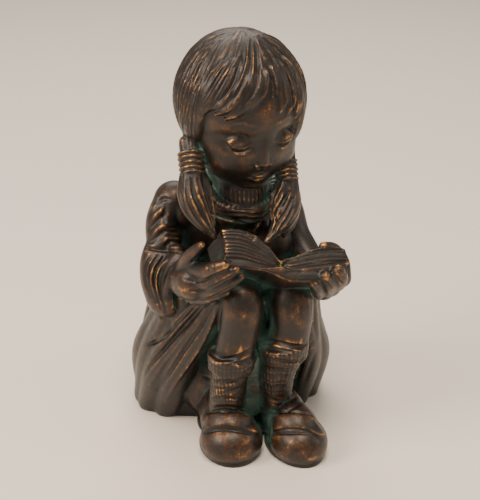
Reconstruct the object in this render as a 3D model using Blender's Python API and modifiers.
"""Seated girl reading a book, a small bronze cast in one piece.

Metres, +Z up, the girl faces -Y, and the origin lies on the flat underside.
The forms are laid out in shares of the figure's height: one PART is a 216th of it.
"""

import math

import bmesh
import bpy
import numpy as np
from mathutils import Euler, Matrix, Vector

# Driving dimensions
FIGURE_HEIGHT = 0.216
PART = FIGURE_HEIGHT / 216
GRAIN = 1.1
TRIANGLES = 9400

BRONZE = (0.052, 0.034, 0.022, 1.0)


def clear_scene():
    for obj in list(bpy.data.objects):
        bpy.data.objects.remove(obj, do_unlink=True)


def place(at=(0, 0, 0), turn=(0, 0, 0), size=(1, 1, 1)):
    """A matrix that scales, turns and then moves, in parts of the height."""
    turned = Euler([math.radians(angle) for angle in turn]).to_matrix().to_4x4()
    return Matrix.Translation(Vector(at)) @ turned @ Matrix.Diagonal((*size, 1))


# The head's own frame sits at the middle of the skull, bowed towards the book.
HEAD = place(at=(5.8, 0, 177), turn=(14, 0, 8), size=(1.12, 1.1, 1.12))
# The hair lies on a rounder form that keeps upright.
HAIR_MIDDLE = (5.5, 1, 181.5)
HAIR_RADII = (33.4, 34.5, 34.5)
# The book's frame is at the front foot of its spine: Y runs down the page, Z rises out of it.
BOOK = place(at=(12.3, -52, 104.9), turn=(-38, 0, 0))
PAGE_LENGTH = 37


def smooth_path(points, steps=6):
    """A Catmull-Rom curve through points of any width."""
    knots = [np.array(p, float) for p in points]
    ends = [2 * knots[0] - knots[1], *knots, 2 * knots[-1] - knots[-2]]
    path = []
    for a, b, c, d in zip(ends, ends[1:], ends[2:], ends[3:]):
        for t in np.arange(steps) / steps:
            bend = (2 * a - 5 * b + 4 * c - d) * t**2 + (3 * b - a - 3 * c + d) * t**3
            path.append(b + 0.5 * ((c - a) * t + bend))
    path.append(knots[-1])
    return path


def on_hair(azimuth, rise, lift=0.0):
    """The point of the hair's round form in a direction: azimuth 0 is the brow, rise 90 the crown."""
    a, e = math.radians(azimuth), math.radians(rise)
    way = np.array([math.sin(a) * math.cos(e), -math.cos(a) * math.cos(e), math.sin(e)])
    reach = 1 / np.linalg.norm(way / np.array(HAIR_RADII)) + lift
    return tuple(np.array(HAIR_MIDDLE) + way * reach)


class Clay:
    """Closed shapes that overlap, gathered and then fused into one skin."""

    def __init__(self):
        self.bm = bmesh.new()
        self.tubes = bpy.data.curves.new("tubes", "CURVE")
        self.tubes.dimensions = "3D"
        self.tubes.bevel_depth = 1
        self.tubes.bevel_resolution = 4
        self.tubes.use_fill_caps = True

    def ball(self, at, size, turn=(0, 0, 0), frame=Matrix()):
        one = bmesh.new()
        where = frame @ place(at, turn, size)
        bmesh.ops.create_uvsphere(one, u_segments=28, v_segments=18, radius=1, matrix=where)
        self.keep(one)

    def limb(self, points, frame=Matrix(), steps=6):
        """A round tube through (x, y, z, radius) points, with round ends."""
        path = [(frame @ Vector(p[:3]), max(p[3], 0.4)) for p in smooth_path(points, steps)]
        spline = self.tubes.splines.new("POLY")
        spline.points.add(len(path) - 1)
        for point, (at, radius) in zip(spline.points, path):
            point.co = (*at, 1)
            point.radius = radius
        for at, radius in (path[0], path[-1]):
            self.ball(at, (radius, radius, radius))

    def band(self, at, radius, height, turn=(0, 0, 0)):
        """A short upright cylinder, a little wider at its top."""
        one = bmesh.new()
        low, high = radius * 0.94, radius * 1.04
        bmesh.ops.create_cone(one, cap_ends=True, segments=32, radius1=low, radius2=high, depth=height,
                              matrix=place(at, turn))
        self.keep(one)

    def loft(self, rings, swell=None, front=1.0):
        """A closed skin over level rings (z, x, y, half width, half depth), flatter in front by a share."""
        one = bmesh.new()
        turns = np.linspace(0, 2 * math.pi, 96, endpoint=False)
        rows = []
        for z, x, y, wide, deep in smooth_path(rings, 5):
            row = []
            for turn in turns:
                reach = 1 + swell(turn, z) if swell else 1
                ahead = math.cos(turn) * (front if math.cos(turn) > 0 else 1)
                row.append(one.verts.new((x + wide * reach * math.sin(turn), y - deep * reach * ahead, z)))
            rows.append(row)
        for low, high in zip(rows, rows[1:]):
            for k in range(len(low)):
                one.faces.new((low[k - 1], low[k], high[k], high[k - 1]))
        one.faces.new(rows[0])
        one.faces.new(rows[-1])
        bmesh.ops.recalc_face_normals(one, faces=list(one.faces))
        self.keep(one)

    def lock(self, points, lift=0.0):
        """A limb laid on the hair's round form through (azimuth, rise, radius) points."""
        path = smooth_path(points, 3)
        self.limb([(*on_hair(a, e, lift), r) for a, e, r in path], steps=2)

    def slab(self, outline, thickness, frame):
        """A flat outline in X and Z, extruded along Y."""
        one = bmesh.new()
        ring = [one.verts.new((x, 0, z)) for x, z in outline]
        pushed = bmesh.ops.extrude_face_region(one, geom=[one.faces.new(ring)])
        moved = [v for v in pushed["geom"] if isinstance(v, bmesh.types.BMVert)]
        bmesh.ops.translate(one, vec=(0, thickness, 0), verts=moved)
        bmesh.ops.recalc_face_normals(one, faces=list(one.faces))
        bmesh.ops.transform(one, matrix=frame, verts=list(one.verts))
        self.keep(one)

    def keep(self, one):
        mesh = bpy.data.meshes.new("shape")
        one.to_mesh(mesh)
        one.free()
        self.add(mesh)

    def add(self, mesh):
        self.bm.from_mesh(mesh)
        bpy.data.meshes.remove(mesh)

    def fused(self, grain=GRAIN, smoothing=0):
        """One skin around all the shapes, as a mesh in parts."""
        tube = bpy.data.objects.new("tubes", self.tubes)
        self.add(evaluated(tube))
        bpy.data.curves.remove(self.tubes)
        mesh = bpy.data.meshes.new("clay")
        self.bm.to_mesh(mesh)
        self.bm.free()
        return changed(mesh, grain, smoothing)


def evaluated(obj):
    """The mesh that an object's curve or modifiers come to. The object goes."""
    bpy.context.scene.collection.objects.link(obj)
    made = bpy.data.meshes.new_from_object(obj.evaluated_get(bpy.context.evaluated_depsgraph_get()))
    bpy.data.objects.remove(obj)
    return made


def changed(mesh, grain=None, smoothing=0, triangles=0):
    """The mesh with a new even skin, smoothed, or thinned to a number of triangles."""
    lump = bpy.data.objects.new("lump", mesh)
    if grain:
        skin = lump.modifiers.new("skin", "REMESH")
        skin.mode = "VOXEL"
        skin.voxel_size = grain
    if smoothing:
        lump.modifiers.new("smooth", "SMOOTH").iterations = smoothing
    if triangles:
        thin = lump.modifiers.new("thin", "DECIMATE")
        thin.ratio = triangles / (2 * len(mesh.polygons))
        thin.use_collapse_triangulate = True
    made = evaluated(lump)
    bpy.data.meshes.remove(mesh)
    return made


def head():
    clay = Clay()
    clay.ball((0, 2, 5), (28, 30, 28), frame=HEAD)
    clay.ball((0, -8, -9), (23.4, 21.2, 24.4), frame=HEAD)
    clay.ball((0, -16.5, -25.5), (11, 10, 9), frame=HEAD)
    for side in (-1, 1):
        clay.ball((side * 10.4, -15.6, -14), (10.6, 9.8, 10.6), frame=HEAD)
    face = clay.fused(0.9, 14)
    clay = Clay()
    clay.add(face)
    clay.limb([(0, -28.3, -1, 1.8), (0, -30.8, -8, 2.3), (0, -32.6, -12.5, 3)], frame=HEAD)
    clay.limb([(-6, -27.2, -21, 1), (0, -29.8, -20.4, 1.6), (6, -27.2, -21, 1)], frame=HEAD)
    clay.limb([(-5, -26.8, -23.2, 1), (0, -29.2, -23.6, 1.8), (5, -26.8, -23.2, 1)], frame=HEAD)
    for side in (-1, 1):
        clay.ball((side * 3, -30, -13.6), (2.2, 2.4, 1.8), frame=HEAD)
        clay.ball((side * 11, -24.4, -3.5), (5.8, 4.6, 3.8), frame=HEAD)
        brow = [(side * 5.5, -28, 4, 1), (side * 11, -27, 6.4, 1.2), (side * 18, -22.5, 4.6, 1)]
        clay.limb(brow, frame=HEAD)
    return clay.fused(0.8, 3)


def hair():
    clay = Clay()
    clay.ball(HAIR_MIDDLE, HAIR_RADII)
    clay.ball((5.5, 7.5, 162), (26.5, 20.5, 17))
    for side in (-1, 1):
        clay.ball((5.5 + side * 22.5, 2, 165), (7, 13.5, 14.5), turn=(0, side * 12, 0))
        clay.ball((5.5 + side * 17.5, 0.5, 154), (7.5, 10, 7.5))
    fringe = (
        [(-4, 45, 4), (-23, 26, 4.5), (-35, 11, 3.5), (-44, -1, 2)],
        [(1, 43, 4), (-10, 27, 4), (-22, 13, 3), (-30, 4, 1.5)],
        [(9, 42, 3.5), (1, 30, 3.5), (-9, 16, 3), (-22, 4, 1.5)],
        [(12, 40, 3), (8, 29, 3), (-1, 18, 2.5), (-10, 7, 1)],
        [(15, 40, 3), (15, 26, 3), (12, 17, 2), (6, 10, 1)],
        [(19, 43, 3.5), (23, 27, 3.5), (24, 15, 2.5), (18, 8, 1)],
        [(24, 46, 4), (33, 27, 4), (35, 11, 3), (32, 3, 1.5)],
    )
    for points in fringe:
        clay.lock(points, -0.2)
    curtain = [(-30, 45, 4), (-37, 26, 4.5), (-46, 9, 5), (-55, -10, 5), (-70, -30, 4.5), (-82, -44, 4)]
    clay.lock(curtain, -2.5)
    clay.lock([(-52, 45, 4), (-59, 25, 5), (-64, 5, 5), (-73, -17, 5), (-86, -43, 5)], -4)
    clay.lock([(26, 40, 3.5), (37, 14, 4.5), (43, -4, 4.5), (52, -25, 4), (64, -44, 4)], -3)
    return clay.fused(0.9, 1)


def pigtails():
    clay = Clay()
    clay.limb([(-21, -6, 162, 7), (-22.5, -11, 154, 6), (-23.5, -16, 148, 6.8), (-25, -20, 141, 7.6),
               (-24, -25, 134.5, 7), (-20.5, -29, 128, 4.6), (-17, -33, 122.5, 1.5)])
    clay.limb([(-19, -14, 150, 4), (-18, -19, 142, 4.5), (-18.5, -24, 134, 4), (-16.5, -29, 127, 2)])
    clay.limb([(26.5, -9, 153, 5.5), (26, -13, 144, 5), (27, -17, 137, 5.5), (26.5, -21, 130.5, 6.2),
               (22.5, -25, 125, 6), (16, -29, 120.5, 4), (9.5, -32, 116, 1.5)])
    clay.limb([(22, -17, 139, 4.5), (19, -22, 131, 5), (19, -26, 124, 4.5), (15, -29, 118, 2)])
    # The cords wound round each bunch.
    clay.band((-22.8, -12.8, 153.6), 7.4, 11, turn=(-34, 6, 0))
    clay.band((26, -13, 145.2), 6.6, 10, turn=(-27, 0, 0))
    return clay.fused(0.9, 1)


def torso():
    clay = Clay()
    clay.limb([(4, 10, 120, 15), (4.5, 6, 150, 13)])
    clay.loft((
        (70, 2.5, 24, 29, 22), (80, 2.5, 23.5, 33, 24), (90, 2.5, 21.5, 34, 24.5), (100, 2.5, 19, 33, 22.5),
        (110, 2.5, 16, 31, 20), (120, 3, 13.5, 28, 17.5), (128, 4, 12, 22, 14.5), (134, 4, 11, 15, 11),
    ))
    clay.ball((-22, 14, 121), (13, 13, 13))
    clay.ball((27, 13, 120), (12, 13, 13))
    clay.ball((2, 16, 124), (26, 15, 12))
    clay.ball((22, 2, 98), (14, 12, 16))
    return clay.fused(1.3, 26)


def collar():
    clay = Clay()
    ring = [(-14, 0, 136), (-11.5, -10, 131.5), (-5, -15.5, 128), (4, -17.5, 126.5), (12, -15.5, 127.5),
            (19.5, -9, 131), (24, 4, 135), (18, 18, 138), (4, 22, 139), (-10, 16, 138.5), (-14, 0, 136)]
    clay.limb([(*point, 4.2) for point in ring])
    clay.limb([(4, 0, 126, 15.5), (5, -4, 133.5, 14.5), (5, 0, 140, 14)])
    return clay.fused(0.9, 3)


def arms():
    clay = Clay()
    clay.limb([(-26, 14, 124, 11), (-33, 10, 116, 9), (-35, 5, 108, 8.5), (-37, 2, 103.5, 7)])
    clay.limb([(-36, 4, 104, 8), (-39, -1, 98, 9), (-38.5, -4, 90, 10.5), (-35, -6, 81, 12)])
    # The open end of the sleeve, wide and soft.
    rim = [(-29, -19, 104), (-34, -17, 99), (-37, -16, 91), (-37.5, -14, 82), (-34, -12, 73), (-28, -11, 68)]
    clay.limb([(*point, 2.8) for point in rim])
    clay.limb([(x - 1, y + 6, z, 4) for x, y, z in rim])
    clay.limb([(x - 1, y + 12, z, 5) for x, y, z in rim])
    clay.ball((-31, 3, 108), (6, 7, 6))
    clay.limb([(30, 13, 121, 11), (34, 8, 113, 9), (36, 3, 103, 8.5), (40, -6, 94, 8), (43, -18, 86, 7.5),
               (42.5, -27, 84, 6.5)])
    return clay.fused(1.0, 3)


def hands():
    clay = Clay()
    clay.limb([(-30, -8, 88, 8.5), (-30.5, -18, 94, 9.5), (-27, -30, 98, 10)])
    fingers = (
        [(-28, -30, 105, 4.4), (-24, -41, 108.5, 4.2), (-20, -48, 113, 3.6), (-17, -51, 115, 2.8)],
        [(-27.5, -31, 99.5, 4.4), (-22, -43, 103.5, 4.1), (-16.5, -49, 109, 3.4), (-11.5, -51, 112, 2.4)],
        [(-26.5, -30, 93.5, 4.4), (-20.5, -41, 98, 3.8), (-14, -47, 103, 3.2), (-8.5, -49, 107, 2.2)],
        [(-26, -27, 88, 4), (-22, -37, 92, 3.4), (-18, -42, 95.5, 2.8), (-14, -44, 97, 1.8)],
        [(-30, -22, 101, 5.5), (-29.5, -29, 110, 4.6), (-27, -35, 118, 3.6), (-25, -39, 123, 2.6)],
        [(49, -36, 93, 5), (49.5, -34, 101, 4), (43.5, -38, 110.5, 3.2), (36.5, -42, 114.5, 2.6)],
        [(45.5, -38, 92, 5), (43, -49, 99.5, 4.2), (40.5, -53, 105.5, 3.4)],
        [(41, -38, 89, 4.4), (37, -49, 97, 3.7), (34, -53, 103.5, 3)],
        [(36, -38, 88, 4), (32, -47, 95, 3.3), (28, -52, 100.5, 2.6)],
    )
    for finger in fingers:
        clay.limb(finger)
    clay.limb([(42, -22, 82, 6), (43.5, -33, 88.5, 6.5)])
    return clay.fused(0.8, 1)


def book():
    clay = Clay()
    left = [(0, 4), (0, 9), (-3.5, 16), (-9, 22.5), (-15.5, 26.5), (-21, 27.8), (-26.5, 28), (-25.5, 21),
            (-27, 14)]
    right = [(0, 3), (3, 3), (19, 2.5), (32.5, 1.5), (36, 4), (34.5, 11), (27, 14), (15, 12), (7.5, 10),
             (0, 9)]
    cover = [(-27, 9), (-17, 7), (-7.5, 5), (0, 0), (3.5, -2), (15, -3.5), (33, -3.5), (34, 2), (0, 6),
             (-17.5, 12), (-27, 14.5)]
    for outline in (left, right, cover):
        clay.slab(outline, PAGE_LENGTH, BOOK)
    return clay.fused(0.8, 0)


def gathers(turn, z):
    """How far round folds swell the back of the skirt, as a share: they deepen towards the hem."""
    behind = 0.5 - 0.5 * math.cos(turn)
    drop = min(max((88 - z) / 60, 0), 1)
    wave = abs(math.sin(turn * 6.5 + 0.8 * math.sin(turn * 2.3 + 1) + 0.3 * math.sin(z / 17)))
    return 0.09 * behind * drop * (wave - 0.6)


def skirt():
    clay = Clay()
    # Pleats at both sides: each runs from the lap's ridge out and down to the ground.
    pleats = (
        [(-13, -33, 87, 6), (-21, -20, 64, 8), (-29, -3, 36, 9), (-33, 12, 4, 7.5)],
        [(-19, -24, 84, 7), (-29, -8, 60, 9), (-37, 7, 32, 9), (-40, 21, 3, 7.5)],
        [(-26, -12, 80, 8), (-33, 2, 60, 9), (-39, 15, 34, 9), (-40, 30, 3, 8)],
        [(-29, 4, 76, 9), (-34, 14, 56, 9), (-39, 26, 32, 10), (-37, 38, 3, 8)],
        [(36, 4, 76, 9), (42, 14, 56, 9), (48, 24, 32, 10), (47, 36, 3, 8)],
        [(35, -10, 80, 7), (42, 0, 58, 8), (50, 10, 32, 9), (51, 23, 3, 8)],
        [(34, -24, 82, 7), (39, -14, 58, 8), (47, -2, 34, 9), (47, 12, 3, 8)],
        [(31, -33, 82, 6), (35, -24, 60, 7), (40, -10, 34, 8), (39, 4, 4, 7.5)],
    )
    for pleat in pleats:
        clay.limb(pleat)
    # The back of the skirt, gathered under the waist.
    clay.loft((
        (-1, 4, 24, 50, 37.5), (12, 4, 24.2, 50, 37), (28, 4, 25, 48.5, 36), (44, 3.5, 26, 46, 34),
        (58, 3, 26, 42.5, 31.5), (72, 3, 25.5, 38.5, 28.5), (81, 2.5, 24, 35.5, 26.5),
        (86, 2.5, 22.5, 31, 22),
    ), gathers, front=0.65)
    # The lap between the ridges, and the thighs under it.
    clay.limb([(-10, 28, 58, 18), (-11, 0, 66, 17), (-8, -26, 80, 11)])
    clay.limb([(16, 28, 56, 18), (21, 0, 64, 17), (22, -26, 78, 11)])
    clay.limb([(5, 20, 46, 20), (6, -8, 50, 16), (7, -20, 34, 14)])
    clay.ball((5, 6, 22), (33, 22, 28))
    # The solid foot inside the hem, so that the underside is one flat face.
    clay.ball((4, 30, 2), (44, 27, 10))
    clay.ball((4, -2, 2), (28, 26, 9))
    return clay.fused(1.2, 3)


def legs():
    clay = Clay()
    clay.limb([(-8, 0, 72, 12), (-5.5, -30, 88, 11), (-4.5, -37.5, 86.5, 10.8), (-5.5, -38, 74, 10.3),
               (-8, -37, 60, 10), (-10, -34, 44, 9.5), (-10, -28, 24, 9.5)])
    clay.limb([(22, 0, 68, 12), (21.5, -30, 85, 11.5), (21.5, -38, 83, 11.2), (21, -38.5, 70, 10.6),
               (18.5, -38, 58, 10.5), (15.5, -35, 44, 9.5), (15.5, -29, 24, 9)])
    # Turned-down tops of the socks.
    clay.band((-9.8, -37, 54.5), 12.2, 9.5, turn=(3, 6, 0))
    clay.band((17.6, -38, 58), 13, 9.5, turn=(2, -5, 0))
    clay.limb([(5, -24, 78, 7), (5, -26, 50, 7), (3, -22, 20, 9)])
    return clay.fused(1.0, 2)


def shoes():
    clay = Clay()
    for x, y, turn, length, width in ((-8.5, 0, -2, 1, 1.04), (18, -7, 8, 5, 0.93)):
        shoe = place(at=(x, y, 0), turn=(0, 0, turn), size=(width, 1, 1))
        clay.ball((0, -36 - length, 8), (16, 17, 13), frame=shoe)
        clay.ball((0, -30 - length, 14), (13, 16, 12), frame=shoe)
        clay.ball((0, -22, 12), (12.5, 20, 17), frame=shoe)
        clay.ball((0, -6, 11), (11, 14, 14), frame=shoe)
        clay.ball((0, -30 - length, 1), (15, 22, 6), frame=shoe)
        clay.ball((0, -8, 1), (11.5, 16, 6), frame=shoe)
    return clay.fused(1.0, 2)


class Carving:
    """Grooves and ridges worked into a mesh: each moves the skin along its normals near a line."""

    def __init__(self, mesh):
        self.mesh = mesh
        count = len(mesh.vertices)
        self.at = np.empty(count * 3, np.float32)
        mesh.vertices.foreach_get("co", self.at)
        self.at = self.at.reshape(-1, 3).astype(float)
        self.out = np.empty(count * 3, np.float32)
        mesh.vertex_normals.foreach_get("vector", self.out)
        self.out = self.out.reshape(-1, 3).astype(float)
        self.shift = np.zeros(count)

    def line(self, points, width, height, steps=4, fade=True):
        """A ridge, or a groove where height is below 0, that dies away at its ends."""
        path = np.array(smooth_path(points, steps))
        box = (self.at > path.min(axis=0) - width) & (self.at < path.max(axis=0) + width)
        near = np.flatnonzero(box.all(axis=1))
        spots = self.at[near]
        best = np.full(len(near), np.inf)
        along = np.zeros(len(near))
        for index, (a, b) in enumerate(zip(path, path[1:])):
            way = b - a
            share = np.clip((spots - a) @ way / max(way @ way, 1e-9), 0, 1)
            gap = np.linalg.norm(spots - a - share[:, None] * way, axis=1)
            closer = gap < best
            best[closer] = gap[closer]
            along[closer] = (index + share[closer]) / (len(path) - 1)
        form = np.clip(1 - (best / width) ** 2, 0, None) ** 2
        if fade:
            form *= np.sin(np.pi * np.clip(along, 0.03, 0.97)) ** 0.5
        self.shift[near] += form * height

    def done(self):
        moved = self.at + self.out * self.shift[:, None]
        self.mesh.vertices.foreach_set("co", moved.astype(np.float32).ravel())
        self.mesh.update()
        return self.mesh


def carve(mesh):
    carving = Carving(mesh)
    # Strands of hair from the crown, parted down the back and drawn forward to the two ties.
    for step in range(-17, 18):
        azimuth = step * 10 + 5
        if abs(azimuth - 5) < 30:
            continue
        side = 1 if azimuth > 0 else -1
        swept = azimuth + side * 8 if abs(azimuth) < 90 else azimuth - side * (abs(azimuth) - 90) * 0.45
        half = (azimuth + swept) / 2
        strand = [(azimuth * 0.6, 76), (azimuth, 52), (azimuth, 24), (half, 0), (swept, -26)]
        carving.line([on_hair(a, e, 0.5) for a, e in strand], 2.6, -1.1)
    for start in (-32, -18, 0, 14, 22, 30):
        carving.line([on_hair(start * 0.5, 72), on_hair(start, 50), on_hair(start - 8, 34)], 2, -0.9)
    carving.line([on_hair(180, 70), on_hair(180, 30), on_hair(180, -20)], 2.6, -1.4)
    # Folds of the sleeve, the crease at its elbow and the gap round the wrist.
    carving.line([(-38.5, 2, 104), (-36, -4, 101.5), (-30, -4, 99.5), (-27, 4, 103)], 2.6, -1.8)
    for z in (115, 111.5, 108):
        carving.line([(-32, -1, z), (-24, 3, z - 1)], 1.8, -1)
    carving.line([(-40, -4, 99), (-38, -9, 89), (-36, -10, 79)], 3, -1.4)
    carving.line([(-43, 0, 98), (-42.5, -4, 88), (-39, -6, 79)], 3, -1.4)
    cuff = [(-30, -20, 103), (-33, -18, 96), (-33, -16, 87), (-30.5, -14, 78), (-26, -13, 72)]
    carving.line(cuff, 3.2, -4.5)
    # The skirt's long folds on either side.
    carving.line([(-17, -30, 83), (-27, -18, 66), (-38, -4, 50), (-44, 6, 40)], 4.5, -2.2)
    carving.line([(-17, -27, 74), (-25, -12, 52), (-36, 4, 30), (-42, 10, 18)], 4.5, -2.2)
    carving.line([(-18, -24, 64), (-23, -10, 43), (-29, 4, 22)], 4, -1.8)
    carving.line([(-33, -4, 60), (-36, -3, 52), (-41, 3, 45)], 3, 2)
    carving.line([(38, -26, 76), (44, -10, 50), (52, 6, 26)], 4.5, -2)
    # The leaves at the head of the book fan out from its spine.
    for share in (0.25, 0.5, 0.75):
        for low, high in (((-27, 14), (-21, 28)), ((34, 3), (28, 14))):
            x, z = (low[i] + (high[i] - low[i]) * share for i in (0, 1))
            bend = 1.5 + 6 * share if x < 0 else 0
            leaf = [(0, 0, 7), (x * 0.5, 0, 7 + (z - 7) * 0.5 + bend), (x, 0, z)]
            carving.line([BOOK @ Vector(point) for point in leaf], 1.5, -0.9)
    # The edges of the strap over each shoe.
    for x, y, lean in ((-8.5, -30, -2), (18, -38, 4)):
        for forward in (0, 9):
            ends = y + 6 - forward * 0.6
            strap = [(x - 14, ends, 10), (x - 8, y - 4 - forward, 22), (x + lean, y - 7 - forward, 25),
                     (x + 8, y - 4 - forward, 22), (x + 14, ends, 10)]
            carving.line(strap, 1.8, -1.2)
    return carving.done()


def flattened(mesh):
    """The mesh cut off at the ground, with the cut closed."""
    bm = bmesh.new()
    bm.from_mesh(mesh)
    bpy.data.meshes.remove(mesh)
    everything = [*bm.verts, *bm.edges, *bm.faces]
    made = bmesh.ops.bisect_plane(
        bm, geom=everything, plane_co=(0, 0, 0), plane_no=(0, 0, -1), clear_outer=True, dist=0.01
    )
    rim = [e for e in made["geom_cut"] if isinstance(e, bmesh.types.BMEdge)]
    bmesh.ops.triangle_fill(bm, edges=rim, use_beauty=True)
    bmesh.ops.recalc_face_normals(bm, faces=list(bm.faces))
    flat = bpy.data.meshes.new("figure")
    bm.to_mesh(flat)
    bm.free()
    return flat


def girl():
    clay = Clay()
    for form in (head, hair, pigtails, torso, collar, arms, hands, book, skirt, legs, shoes):
        clay.add(form())
    return carve(clay.fused(GRAIN))


def bronze():
    material = bpy.data.materials.new("patinated_bronze")
    material.use_nodes = True
    surface = material.node_tree.nodes["Principled BSDF"]
    surface.inputs["Base Color"].default_value = BRONZE
    surface.inputs["Metallic"].default_value = 0.6
    surface.inputs["Roughness"].default_value = 0.45
    material.diffuse_color = BRONZE
    return material


def main():
    clear_scene()
    figure = girl()
    figure = flattened(changed(figure, triangles=TRIANGLES))
    figure.transform(Matrix.Scale(PART, 4))
    figure.materials.append(bronze())
    collection = bpy.data.collections.new("girl_sculpture")
    bpy.context.scene.collection.children.link(collection)
    collection.objects.link(bpy.data.objects.new("girl_reading", figure))


main()
